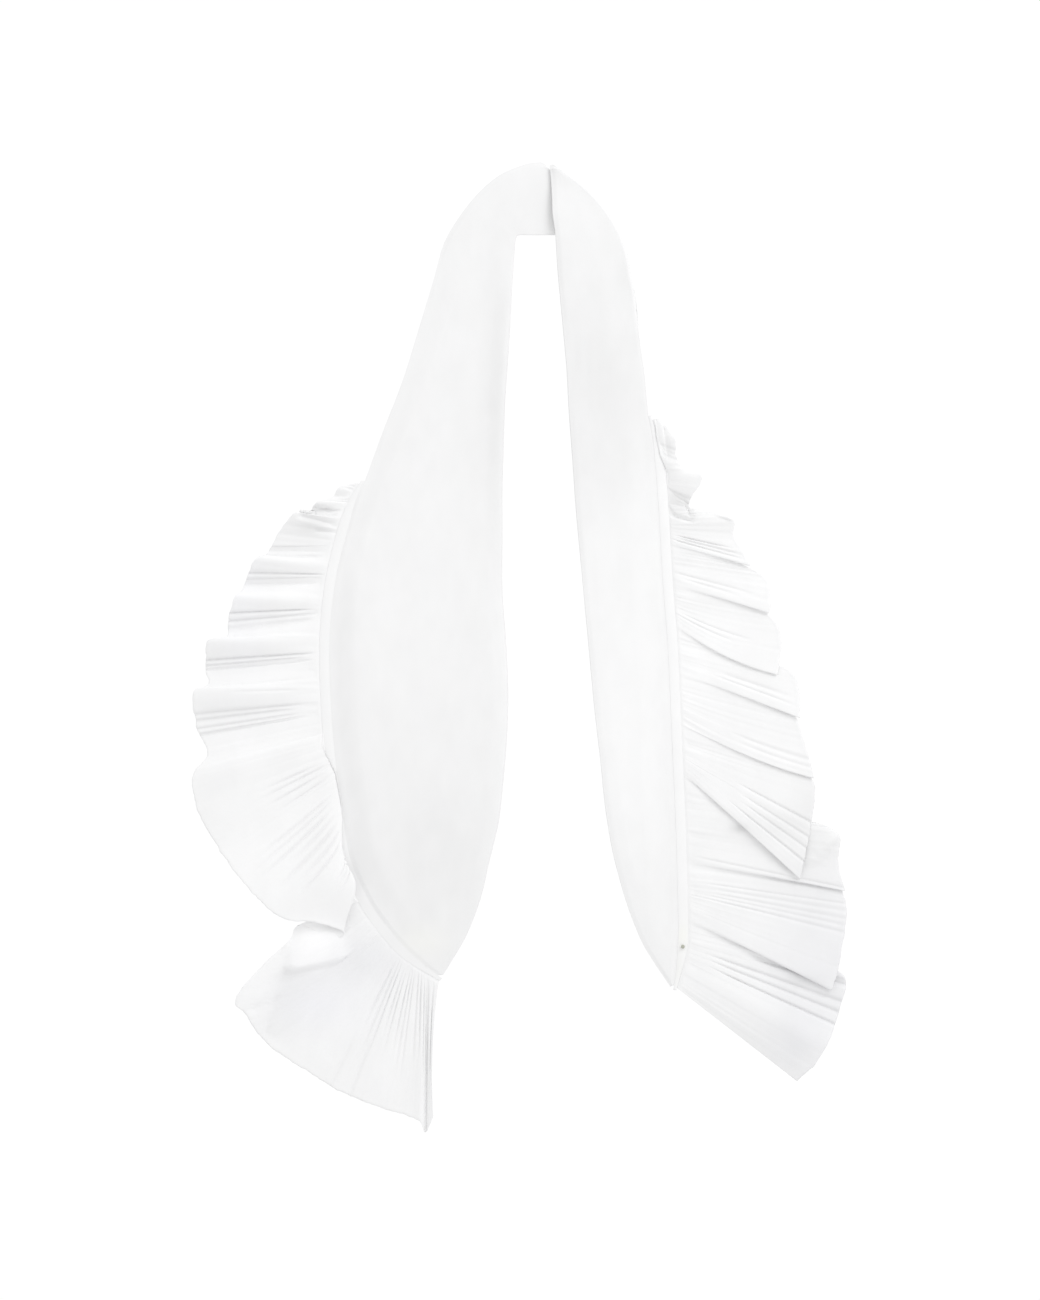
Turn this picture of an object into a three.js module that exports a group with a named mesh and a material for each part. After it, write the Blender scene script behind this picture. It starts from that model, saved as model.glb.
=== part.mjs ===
// A white cotton ruffled tie, laid flat. Millimetres, +Z up, the floor at Z = 0.
// Y runs along the tie towards the neck, X across it. Both legs hang down -Y from the neck stretch.
import * as THREE from "three";

// Driving dimensions
const PANEL_WALL = 1.6; // two plies of poplin with the air between them
const RUFFLE_WALL = 1.2; // one gathered ply with its narrow hem
const CLEARANCE = 0.4; // left between pieces that are sewn to each other
const BINDING_WIDTH = 8; // smooth strip between a panel and its gathers
const BINDING_HEIGHT = 2.6;
const BINDING_TIP_WIDTH = 3; // the strip narrows where it starts and ends
const BINDING_TAPER = 45; // length over which it reaches its full width
const FOLD_RADIUS = 2.6; // soft roll where the narrow leg turns over the neck stretch
const FOLD_RETURN = 4; // cloth that runs back under that roll
const FOLD_LIP = 0.5; // flat edge beyond the roll where the leg isn't turned over
const FOLD_SHARE = 0.3; // largest share of the leg's width that the roll takes up
const STUD_RADIUS = 1.7;
const STUD_HEIGHT = 1.4;
const STUD_ALONG = 458; // distance down the right seam
const CLIMB = 2.2; // how steeply a ruffle leaves its seam, 1 for a straight slope
const ROLL_CLIMB = 8; // roll over the seam, in mm, that adds 1 to that steepness
const ROLL_LAG = 16; // roll over the seam, in mm, that adds 1 to the power of the way out to the hem
const SEAM_DENSITY = 1.5; // power that crowds a ruffle's grid towards its seam
const ROLL_CENTRE = 0.75; // power that moves the widest part of a rolled ruffle towards its seam

// Grid steps of the cloth walls
const STEPS_PER_FOLD = 2;
const STEPS_PER_SECTION = 2;
const RUFFLE_STEPS = 7;
const PANEL_STEPS = 5;
const ROLL_STEPS = 4;
const BINDING_STEPS = 72;

// Seam centre lines from the neck end down to the tip: x, y
const LEFT_SEAM = [
  [-135, 144], [-144, 127], [-155, 93], [-163, 58], [-168, 7], [-167, -45], [-163, -96], [-157, -141],
  [-150, -182], [-135, -217], [-121, -238], [-103, -259], [-86, -273], [-68, -285],
];
const RIGHT_SEAM = [
  [112, 200], [119, 170], [123, 127], [127, 58], [131, 7], [135, -79], [138, -148], [140, -217],
  [140, -255], [137, -275], [133, -294],
];

// Panel sections that end on the seam: distance along the seam, inner edge x, inner edge y, crown
const LEFT_PANEL = [
  [463, -66, -281, 0], [452, -58, -268, 0.6], [438, -46, -247, 1.4], [417, -34, -216, 2.2],
  [389, -26, -182, 2.8], [354, -18, -148, 3], [321, -14, -112, 3], [286, -11, -75, 3],
  [251, -10, -36, 2.8], [208, -12, 7, 2.6], [160, -15, 50, 2.4], [121, -15, 93, 2.2],
  [81, -15, 136, 2], [41, -14, 172, 1.8], [0, -13, 204, 1.6],
];
const RIGHT_PANEL = [
  [492, 129, -291, 0], [474, 117, -273, 0.5], [453, 105, -253, 1.2], [427, 94, -226, 1.8],
  [399, 86, -200, 2.2], [369, 79, -172, 2.4], [332, 73, -135, 2.4], [293, 69, -96, 2.2],
  [254, 64, -53, 2], [207, 60, -10, 2], [164, 56, 33, 1.8], [122, 52, 76, 1.8],
  [78, 48, 119, 1.6], [35, 45, 162, 1.6], [0, 42, 202, 1.4],
];
// Neck sections of the left piece, up the leg and round the arch: inner x, inner y, outer x, outer y, crown, bow
const LEFT_NECK = [
  [-12, 222, -118, 186, 1.4, 0], [-9, 265, -101, 230, 1.2, 0], [-7, 304, -87, 275, 1, 0],
  [-5, 335, -74, 318, 0.8, 0], [-4, 349, -64, 351, 0.6, 0], [-3, 353, -43, 383, 0.4, 0],
  [-1, 355, -20, 405, 0.3, 0], [9, 355, 2, 415, 0.2, 0], [22, 355, 16, 417.5, 0, 0],
  [44, 355, 21, 416, 0, 2], [62, 355, 23.5, 413, 0, 5], [75, 355, 26, 410, 0, 7],
];
// Sections of the right leg above its seam: inner x, inner y, outer x, outer y, crown, rise, turn of the roll
const RIGHT_NECK = [
  [40, 239, 107, 235, 1.2, 0, 0], [37, 273, 102, 269, 1, 0.6, 0.12], [34, 304, 99, 300, 0.8, 1.4, 0.35],
  [32, 326, 95, 321, 0.6, 2.1, 0.6], [31, 343, 91, 341, 0.5, 2.7, 0.82], [30, 357, 85, 357, 0.5, 3, 1],
  [28, 372, 76, 372, 0.5, 3, 1], [27.5, 385, 66, 385, 0.5, 2.6, 1], [27, 396, 54.5, 396, 0.4, 2, 1],
  [26.5, 405, 43, 405, 0.3, 1.4, 1], [26, 411, 35, 411, 0, 1, 1], [25.5, 415, 29, 415, 0, 1, 1],
];

// Ruffle sections, one for each crest, tuck and belly of a fold, from the neck end round to the tip:
// distance along the seam, hem x, hem y, rise of the hem, sideways bow, roll over the seam
const LEFT_RUFFLE = [
  [4, -143, 142, 1, 0, 0], [11, -155, 138, 5.5, 0, 0], [17, -161, 130, 2, 0, 0], [23, -173, 126, 7.5, 0, 0],
  [31, -182, 116, 2.5, 0, 0], [39, -193, 116, 9.5, 0, 0], [53, -208, 98, 3, 0, 0], [67, -217, 82, 2, 0, 0],
  [79, -226, 77, 9.5, 0, 0], [89, -236, 59, 2, 0, 0], [99, -239, 49, 6.5, 0, 0],
  [109, -245, 43, 10.5, 0, 0], [120, -251, 22, 2, 0, 0], [132, -252, 10, 7, 0, 0],
  [143, -267, 6, 11.5, 0, 0], [156, -270, -15, 2, 0, 0], [170, -268, -31, 7, 0, 0],
  [184, -280, -38, 11.5, 0, 0], [201, -278, -67, 2, 0, 0], [219, -268, -91, 5.5, 0, 0],
  [236, -280, -108, 10, 0, 0], [254, -277, -138, 6.5, 0, 1], [272, -256, -176, 5.5, 0, 4],
  [294, -230, -210, 8, 0, 9], [316, -204, -231, 12, 0, 14], [333, -176, -235, 13, 0, 16],
  [346, -152, -243, 10, 0, 12], [356, -160, -249, 5, 0, 4], [365, -189, -238, 2.5, 0, 0],
  [375, -199, -252, 3, 0, 0], [385, -222, -273, 6.5, -8, 0], [396, -244, -301, 4, -12, 0],
  [406, -219, -338, 2, -5, 0], [416, -189, -359, 5, 0, 0], [427, -155, -380, 3, 0, 0],
  [437, -125, -393, 5, 0, 0], [445, -99, -401, 4, 0, 0], [450, -86, -407, 5.5, 0, 0],
  [455, -81, -416, 2, 0, 0], [466, -74.5, -402, 4, 3, 0],
];
const RIGHT_RUFFLE = [
  [4, 119, 197, 1, 0, 0], [16, 132, 181, 5, 0, 0], [29, 134, 166, 2.5, 0, 0], [42, 139, 155, 4, 0, 0],
  [54, 156, 147, 8, 0, 0], [64, 146, 127, 2.5, 0, 0], [77, 149, 120, 2, 0, 0], [90, 182, 112, 8, 0, 0],
  [98, 184, 95, 5.5, 0, 0], [109, 197, 72, 8, 0, 0], [115, 189, 73, 2.5, 0, 0], [128, 212, 58, 5, 0, 0],
  [143, 214, 31, 8.5, 0, 0], [151, 208, 35, 2.5, 0, 0], [163, 223, 14, 5.5, 3, 0], [178, 221, -22, 9, 6, 0],
  [186, 219, -14, 2.5, 3, 0], [201, 237, -26, 5.5, 0, 0], [219, 240, -59, 9.5, 0, 0],
  [228, 235, -52, 2.5, 0, 0], [243, 243, -77, 5.5, 2, 0], [261, 252, -111, 9.5, 5, 0],
  [270, 246, -103, 2.5, 3, 0], [286, 253, -127, 6, 0, 0], [305, 240, -197, 13, 0, 0],
  [314, 241, -163, 3.5, 0, 0], [329, 251, -150, 3.5, 0, 0], [343, 273, -160, 7.5, 0, 0],
  [362, 273, -184, 4, 0, 0], [381, 278, -207, 7.5, 0, 0], [391, 276, -206, 3, 0, 0],
  [408, 280, -232, 5.5, 0, 0], [430, 268, -292, 13, 0, 0], [440, 265, -275, 3, 0, 0],
  [450, 280, -285, 5.5, 0, 0], [462, 273, -314, 2.5, 0, 0], [473, 263, -340, 4, 0, 0],
  [486, 251, -359, 3, 0, 0], [494, 238, -372, 2, 0, 0],
];

const mix = THREE.MathUtils.lerp;
const smooth = THREE.MathUtils.smoothstep;

// One row of a table between two of its rows. A whole place is that row itself.
function rowAt(table, place) {
  const first = Math.min(Math.floor(place), table.length - 2);
  const share = place - first;
  const curved = (column) => {
    const [a, b, c, d] = [first - 1, first, first + 1, first + 2].map((row) => {
      return table[THREE.MathUtils.clamp(row, 0, table.length - 1)][column];
    });
    const slopes = [(c - a) / 2, (d - b) / 2];
    const [square, cube] = [share ** 2, share ** 3];
    return (2 * cube - 3 * square + 1) * b + (cube - 2 * square + share) * slopes[0]
      + (3 * square - 2 * cube) * c + (cube - square) * slopes[1];
  };
  return table[0].map((_, column) => curved(column));
}

// A seam gives its centre place, the direction towards its panel and the strip's half width.
function makeSeam(points, panelSide) {
  const curve = new THREE.CatmullRomCurve3(points.map(([x, y]) => new THREE.Vector3(x, y, 0)));
  curve.arcLengthDivisions = 600;
  const length = curve.getLength();
  const at = (along) => {
    const share = THREE.MathUtils.clamp(along / length, 0, 1);
    const tangent = curve.getTangentAt(share);
    const sideways = new THREE.Vector3(-tangent.y, tangent.x, 0);
    const reached = smooth(Math.min(along, length - along), 0, BINDING_TAPER);
    return {
      place: curve.getPointAt(share),
      sideways,
      inward: sideways.clone().multiplyScalar(panelSide),
      halfWidth: mix(BINDING_TIP_WIDTH, BINDING_WIDTH, reached) / 2,
    };
  };
  return { at, length };
}

const leftSeam = makeSeam(LEFT_SEAM, 1);
const rightSeam = makeSeam(RIGHT_SEAM, -1);

// The edge that a panel (side 1) or a ruffle (side -1) has along a seam.
function seamEdge(seam, along, side) {
  const { place, inward, halfWidth } = seam.at(along);
  return place.clone().addScaledVector(inward, side * (halfWidth + CLEARANCE));
}

// A closed cloth wall around a grid of middle points, grid[row][column].
function clothWall(grid, wall) {
  const rows = grid.length;
  const columns = grid[0].length;
  const positions = [];
  const inRange = (index, count) => THREE.MathUtils.clamp(index, 0, count - 1);
  for (const side of [1, -1]) {
    for (let row = 0; row < rows; row++) {
      for (let column = 0; column < columns; column++) {
        const down = grid[inRange(row + 1, rows)][column].clone().sub(grid[inRange(row - 1, rows)][column]);
        const across = grid[row][inRange(column + 1, columns)].clone()
          .sub(grid[row][inRange(column - 1, columns)]);
        const normal = down.cross(across).normalize();
        positions.push(...grid[row][column].clone().addScaledVector(normal, side * wall / 2).toArray());
      }
    }
  }
  const faces = [];
  const corner = (side, row, column) => side * rows * columns + row * columns + column;
  const quad = (a, b, c, d) => faces.push(a, b, c, a, c, d);
  for (let row = 0; row < rows - 1; row++) {
    for (let column = 0; column < columns - 1; column++) {
      const [near, far] = [column, column + 1];
      quad(corner(0, row, near), corner(0, row + 1, near), corner(0, row + 1, far), corner(0, row, far));
      quad(corner(1, row, near), corner(1, row, far), corner(1, row + 1, far), corner(1, row + 1, near));
    }
    const last = columns - 1;
    quad(corner(0, row, 0), corner(1, row, 0), corner(1, row + 1, 0), corner(0, row + 1, 0));
    quad(corner(0, row, last), corner(0, row + 1, last), corner(1, row + 1, last), corner(1, row, last));
  }
  for (let column = 0; column < columns - 1; column++) {
    const last = rows - 1;
    quad(corner(0, 0, column), corner(0, 0, column + 1), corner(1, 0, column + 1), corner(1, 0, column));
    quad(corner(0, last, column), corner(1, last, column), corner(1, last, column + 1),
      corner(0, last, column + 1));
  }
  const geometry = new THREE.BufferGeometry();
  geometry.setAttribute("position", new THREE.Float32BufferAttribute(positions, 3));
  geometry.setIndex(faces);
  geometry.computeVertexNormals();
  return geometry;
}

// Grid places at every row of a table and evenly between two rows.
function placesIn(table, stepsPerRow) {
  const count = (table.length - 1) * stepsPerRow;
  return Array.from({ length: count + 1 }, (_, step) => step / stepsPerRow);
}

const evenly = (steps) => Array.from({ length: steps + 1 }, (_, step) => step / steps);

// Shifts a point sideways off the line from inner to outer, most at the middle.
function bowed(point, inner, outer, bow, share) {
  const side = outer.clone().sub(inner).normalize();
  const arc = 4 * share * (1 - share);
  point.x += side.y * bow * arc;
  point.y -= side.x * bow * arc;
  return point;
}

// Sections of a whole panel, from its tip up the seam and on through the neck:
// inner place, outer place, crown and the neck's own columns.
function panelSections(seam, lower, neck) {
  const edgeAt = (along) => seamEdge(seam, along, 1);
  const spare = neck[0].length - 5;
  const sections = [
    ...lower.map(([along, x, y, crown]) => {
      return [x, y, edgeAt(along).x, edgeAt(along).y, crown, ...Array(spare).fill(0)];
    }),
    ...neck,
  ];
  return placesIn(sections, STEPS_PER_SECTION).map((place) => {
    const [innerX, innerY, outerX, outerY, crown, ...own] = rowAt(sections, place);
    const onSeam = place < lower.length - 1;
    const outer = onSeam ? edgeAt(rowAt(lower, place)[0]) : new THREE.Vector3(outerX, outerY, 0);
    return { inner: new THREE.Vector3(innerX, innerY, 0), outer, crown: Math.max(crown, 0), own };
  });
}

// The left piece: the leaf-shaped panel, its leg and the neck arch, on the floor and softly crowned.
function leftPanel() {
  const grid = panelSections(leftSeam, LEFT_PANEL, LEFT_NECK).map(({ inner, outer, crown, own: [bow] }) => {
    return evenly(PANEL_STEPS).map((share) => {
      const point = bowed(inner.clone().lerp(outer, share), inner, outer, bow, share);
      return point.setZ(PANEL_WALL / 2 + crown * Math.sin(Math.PI * share));
    });
  });
  return clothWall(grid, PANEL_WALL);
}

// The narrow leg. Above the seam its outer edge rolls over and runs back under itself.
function rightPanel() {
  const grid = panelSections(rightSeam, RIGHT_PANEL, RIGHT_NECK).map(({ inner, outer, crown, own }) => {
    const [rise, turn] = own;
    const width = inner.distanceTo(outer);
    const side = outer.clone().sub(inner).normalize();
    const radius = Math.min(FOLD_RADIUS, width * FOLD_SHARE);
    const turned = Math.PI * THREE.MathUtils.clamp(turn, 0, 1);
    const back = FOLD_RETURN * (turned / Math.PI) * (radius / FOLD_RADIUS);
    const flatEnd = width - radius - FOLD_LIP;
    const top = PANEL_WALL / 2 + radius * (1 - Math.cos(turned));
    const flat = evenly(PANEL_STEPS).map((share) => {
      const lift = crown * Math.sin(Math.PI * share) + Math.max(rise, 0) * (1 - share) ** 2;
      return inner.clone().addScaledVector(side, flatEnd * share).setZ(top + lift);
    });
    const quarter = Math.max(Math.sin(Math.min(turned, Math.PI / 2)), 0.01);
    const roll = evenly(ROLL_STEPS).slice(1).map((share) => {
      const reach = turned > 0.01 ? Math.sin(turned * share) / quarter : share;
      return inner.clone().addScaledVector(side, flatEnd + radius * reach)
        .setZ(top - radius * (1 - Math.cos(turned * share)));
    });
    const end = roll[ROLL_STEPS - 1].clone();
    end.addScaledVector(side, back * Math.cos(turned) + FOLD_LIP * (1 - turned / Math.PI));
    return [...flat, ...roll, end];
  });
  return clothWall(grid, PANEL_WALL);
}

// A gathered strip. Each section leaves the seam steeply and runs out to its place on the hem.
function ruffle(seam, table) {
  const grid = placesIn(table, STEPS_PER_FOLD).map((place) => {
    const [along, hemX, hemY, rise, bow, roll] = rowAt(table, place);
    const { inward } = seam.at(along);
    const rolled = Math.max(roll, 0);
    const wallRoom = RUFFLE_WALL * mix(0.25, 0.5, Math.min(rolled, 1));
    const start = seamEdge(seam, along, -1).addScaledVector(inward, -wallRoom);
    const hem = new THREE.Vector3(hemX, hemY, 0);
    return evenly(RUFFLE_STEPS).map((step) => {
      const share = step ** SEAM_DENSITY;
      const point = bowed(start.clone().lerp(hem, share ** (1 + rolled / ROLL_LAG)), start, hem, bow, share);
      point.addScaledVector(inward, rolled * Math.sin(Math.PI * share ** ROLL_CENTRE) ** 2);
      const climbed = 1 - (1 - share) ** (CLIMB + rolled / ROLL_CLIMB);
      return point.setZ(RUFFLE_WALL / 2 + Math.max(rise, 0) * climbed);
    });
  });
  return clothWall(grid, RUFFLE_WALL);
}

// A low half-round strip that follows the seam.
function binding(seam) {
  const profile = [[-1, 0], [-0.85, 0.55], [0, 1], [0.85, 0.55], [1, 0]];
  const positions = [];
  for (let step = 0; step <= BINDING_STEPS; step++) {
    const { place, sideways, halfWidth } = seam.at(seam.length * step / BINDING_STEPS);
    for (const [across, height] of profile) {
      const point = place.clone().addScaledVector(sideways, -across * halfWidth).setZ(height * BINDING_HEIGHT);
      positions.push(...point.toArray());
    }
  }
  const faces = [];
  const sides = profile.length;
  for (let step = 0; step < BINDING_STEPS; step++) {
    for (let side = 0; side < sides; side++) {
      const next = (side + 1) % sides;
      const [a, b] = [step * sides + side, step * sides + next];
      faces.push(a, b, b + sides, a, b + sides, a + sides);
    }
  }
  for (let side = 1; side < sides - 1; side++) {
    faces.push(0, side + 1, side);
    const last = BINDING_STEPS * sides;
    faces.push(last, last + side, last + side + 1);
  }
  const geometry = new THREE.BufferGeometry();
  geometry.setAttribute("position", new THREE.Float32BufferAttribute(positions, 3));
  geometry.setIndex(faces);
  geometry.computeVertexNormals();
  return geometry;
}

// The small dot at the lower end of the right seam, a low dome on the strip.
function stud() {
  const outline = [[0, 0], [1, 0], [0.95, 0.5], [0.6, 0.87], [0, 1]].map(([out, up]) => {
    return new THREE.Vector2(out * STUD_RADIUS, up * STUD_HEIGHT);
  });
  const { place } = rightSeam.at(STUD_ALONG);
  return new THREE.LatheGeometry(outline, 12).rotateX(Math.PI / 2)
    .translate(place.x, place.y, BINDING_HEIGHT + CLEARANCE);
}

const cotton = (color, roughness) => new THREE.MeshStandardMaterial({ color, roughness, metalness: 0 });

const tie = new THREE.Group();
function add(name, geometry, material) {
  const mesh = new THREE.Mesh(geometry, material);
  mesh.name = name;
  tie.add(mesh);
}

add("left_panel", leftPanel(), cotton(0xf6f6f6, 0.85));
add("right_panel", rightPanel(), cotton(0xf8f8f9, 0.85));
add("left_ruffle", ruffle(leftSeam, LEFT_RUFFLE), cotton(0xf9f9fa, 0.8));
add("right_ruffle", ruffle(rightSeam, RIGHT_RUFFLE), cotton(0xfbfbfb, 0.8));
add("left_seam_binding", binding(leftSeam), cotton(0xfafafa, 0.75));
add("right_seam_binding", binding(rightSeam), cotton(0xfcfcfc, 0.75));
add("seam_end_stud", stud(), cotton(0xc8cabf, 0.5));

export default tie;
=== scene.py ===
import math

import bpy
import numpy as np
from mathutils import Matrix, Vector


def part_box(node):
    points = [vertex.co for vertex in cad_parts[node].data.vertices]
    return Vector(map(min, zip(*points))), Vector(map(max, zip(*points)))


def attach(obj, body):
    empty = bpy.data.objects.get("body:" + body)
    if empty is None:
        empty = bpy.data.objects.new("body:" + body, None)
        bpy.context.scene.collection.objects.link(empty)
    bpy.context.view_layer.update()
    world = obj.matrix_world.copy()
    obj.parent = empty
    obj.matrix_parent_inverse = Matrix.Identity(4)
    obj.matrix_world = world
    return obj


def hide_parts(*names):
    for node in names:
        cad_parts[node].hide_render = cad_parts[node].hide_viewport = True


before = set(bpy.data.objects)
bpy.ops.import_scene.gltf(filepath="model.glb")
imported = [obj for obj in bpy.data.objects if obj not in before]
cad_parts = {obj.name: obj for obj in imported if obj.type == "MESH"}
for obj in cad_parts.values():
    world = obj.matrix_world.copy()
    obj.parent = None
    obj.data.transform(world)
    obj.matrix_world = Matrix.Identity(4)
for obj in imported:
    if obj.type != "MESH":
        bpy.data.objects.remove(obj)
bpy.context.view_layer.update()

bl_info = {
    "name": "Ruffled tie",
    "version": (1, 0, 0),
    "blender": (4, 5, 0),
    "location": "View3D > Sidebar > Ruffled tie",
    "description": "Builds a white cotton tie with gathered ruffles, laid flat, around its frame",
    "category": "Mesh",
}

MM = 0.001
BODY = "root"
# The picture's rows of pixels, and the millimetres of floor that one of them covers
PICTURE_ROWS = 1300
MM_PER_PIXEL = 0.86
# Share of the cloth's colour for one step of tone or coolness
TONE_STEP = 0.0093
COOL_STEP = 0.01
# Turn of the weave's waves over one metre of cloth, in radians
THREADS = 9000
# Entries of the noise tables
NOISE_LENGTH = 4096
NOISE_WIDTH = 256
# Points between two places of a seam, and rows of points between two sections of a panel
CURVE_STEPS = 60
SECTION_STEPS = 11
# Columns of points over each panel's flat part, the last of them that ease into the narrow leg's roll,
# and the columns over that roll
LEFT_COLUMNS = 119
RIGHT_COLUMNS = 65
EASED_COLUMNS = 12
ROLL_COLUMNS = 15
# Places at which a ruffle's rows are spread out, and its rows of points
PLACE_STEPS = 8000
RUFFLE_ROWS = 1370
# Columns of a ruffle, as shares of the way from its seam to its hem
RUFFLE_SHARES = np.concatenate([
    [0, 0.008, 0.0165, 0.023, 0.029, 0.036, 0.046, 0.06], np.linspace(0.08, 0.93, 23),
    [0.945, 0.96, 0.975, 0.99, 1],
])
STRIP_ROWS = 420
STRIP_COLUMNS = 19
# How far the edges of a panel and of a ruffle go under the strip
PANEL_TUCK = 1.4 * MM
RUFFLE_TUCK = 1.2 * MM
# Distances from the strip over which a panel grows from its pressed edge to its full thickness
PRESSED = (0.1 * MM, 4.5 * MM)
# Distances from a panel's inner edge and from its seam over which its crown rises
CROWN_INSIDE = (-12 * MM, 16 * MM)
CROWN_OUTSIDE = (4 * MM, 27 * MM)
CROWN_FULLNESS = 1.45
# Heights on the tie at which the wide leg's inner edge starts and stops to curl up, and the curl's width
CURL_STARTS = (60 * MM, 130 * MM)
CURL_STOPS = (300 * MM, 345 * MM)
CURL_WIDTH = 17 * MM
# Distance outside the strip at which lapping cloth starts to climb over it
LAP_GAP = 0.6 * MM

# Seam centre lines from the neck end down to the tip, in mm: x, y
LEFT_SEAM = [
    (-135, 144), (-144, 127), (-155, 93), (-163, 58), (-168, 7), (-167, -45), (-163, -96),
    (-157, -141), (-150, -182), (-135, -217), (-121, -238), (-103, -259), (-86, -273), (-68, -285),
]
RIGHT_SEAM = [
    (112, 200), (119, 170), (123, 127), (127, 58), (131, 7), (135, -79), (138, -148), (140, -217),
    (140, -255), (137, -275), (133, -294),
]

# Panel sections that end on a seam, in mm: distance along the seam, inner edge x, inner edge y, crown
LEFT_PANEL = [
    (463, -66, -281, 0), (452, -58, -268, 0.2), (438, -46, -247, 0.5), (417, -34, -216, 0.9),
    (389, -26, -182, 1.5), (354, -18, -148, 2.3), (321, -14, -112, 2.8), (286, -11, -75, 3),
    (251, -10, -36, 2.8), (208, -12, 7, 2.6), (160, -15, 50, 2.4), (121, -15, 93, 2.2),
    (81, -15, 136, 2), (41, -14, 172, 1.8), (0, -13, 204, 1.6),
]
RIGHT_PANEL = [
    (492, 129, -291, 0), (474, 117, -273, 0.5), (453, 105, -253, 1.2), (427, 94, -226, 1.8),
    (399, 86, -200, 2.2), (369, 79, -172, 2.4), (332, 73, -135, 2.4), (293, 69, -96, 2.2),
    (254, 64, -53, 2), (207, 60, -10, 2), (164, 56, 33, 1.8), (122, 52, 76, 1.8),
    (78, 48, 119, 1.6), (35, 45, 162, 1.6), (0, 42, 202, 1.4),
]
# Neck sections of the left piece, in mm: inner x, inner y, outer x, outer y, crown, sideways bow
LEFT_NECK = [
    (-12, 222, -118, 186, 1.4, 0), (-9, 265, -101, 230, 1.2, 0), (-7, 304, -87, 275, 1, 0),
    (-5, 335, -74, 318, 0.8, 0), (-4, 349, -64, 351, 0.6, 0), (-3, 353, -43, 383, 0.4, 0),
    (-1, 355, -20, 405, 0.3, 0), (9, 355, 2, 415, 0.2, 0), (22, 355, 16, 417.5, 0, 0),
    (44, 355, 21, 416, 0, 2), (62, 355, 23.5, 413, 0, 5), (75, 355, 26, 410, 0, 7),
]
# Sections of the right leg above its seam, in mm: inner x, inner y, outer x, outer y, crown, rise of the
# inner edge above the rest of the leg, and the turn of the rolled fold, from 0 to 1
RIGHT_NECK = [
    (40, 239, 107, 235, 1.2, 0, 0), (37, 273, 102, 269, 1, 0.6, 0.12),
    (34, 304, 99, 300, 0.8, 1.4, 0.35), (32, 326, 95, 321, 0.6, 1.4, 0.6),
    (31, 343, 91, 341, 0.5, 1.4, 0.82), (30, 357, 85, 357, 0.5, 1.7, 1),
    (28, 372, 76, 372, 0.5, 1.9, 1), (27.5, 385, 66, 385, 0.5, 0.6, 1),
    (27, 396, 54.5, 396, 0.4, -1.1, 1), (26.5, 405, 43, 405, 0.3, -1.8, 1),
    (26, 411, 35, 411, 0, -1.8, 1), (25.5, 415, 29, 415, 0, -0.6, 1),
]

# Ruffle sections, one for each crest, tuck and belly of a fold, in mm:
# distance along the seam, hem x, hem y, rise of the hem, sideways bow, roll over the seam
LEFT_RUFFLE = [
    (4, -143, 142, 1, 0, 0), (11, -155, 138, 5.5, 0, 0), (17, -161, 130, 2, 0, 0),
    (23, -173, 126, 7.5, 0, 0), (31, -182, 116, 2.5, 0, 0), (39, -193, 116, 9.5, 0, 0),
    (53, -208, 98, 3, 0, 0), (67, -217, 82, 2, 0, 0), (79, -226, 77, 9.5, 0, 0),
    (89, -236, 59, 2, 0, 0), (99, -239, 49, 6.5, 0, 0), (109, -245, 43, 10.5, 0, 0),
    (120, -251, 22, 2, 0, 0), (132, -252, 10, 7, 0, 0), (143, -267, 6, 11.5, 0, 0),
    (156, -270, -15, 2, 0, 0), (170, -268, -31, 7, 0, 0), (184, -280, -38, 11.5, 0, 0),
    (201, -278, -67, 2, 0, 0), (214, -268, -91, 5.5, 0, 0), (226, -280, -108, 10, 0, 0),
    (240, -277, -138, 7, 0, 0), (257, -256, -176, 7, 0, 0), (282, -230, -210, 9, 0, 3),
    (310, -204, -231, 12, 0, 5.5), (332, -176, -235, 13, 0, 9), (346, -152, -243, 10, 0, 9),
    (356, -160, -249, 5, 0, 4), (365, -189, -238, 2.5, 0, 0), (375, -199, -252, 3, 0, 0),
    (385, -222, -273, 7, -8, 0), (396, -244, -301, 7, -12, 0), (401, -235, -315, 6, -9, 0),
    (406, -219, -338, 6, -5, 0), (416, -189, -359, 6.5, 0, 0), (427, -155, -380, 5, 0, 0),
    (437, -125, -393, 5, 0, 0), (445, -99, -401, 4, 0, 0), (450, -86, -407, 5.5, 0, 0),
    (455, -81, -416, 2, 0, 0), (466, -74.5, -402, 4, 3, 0),
]
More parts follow.
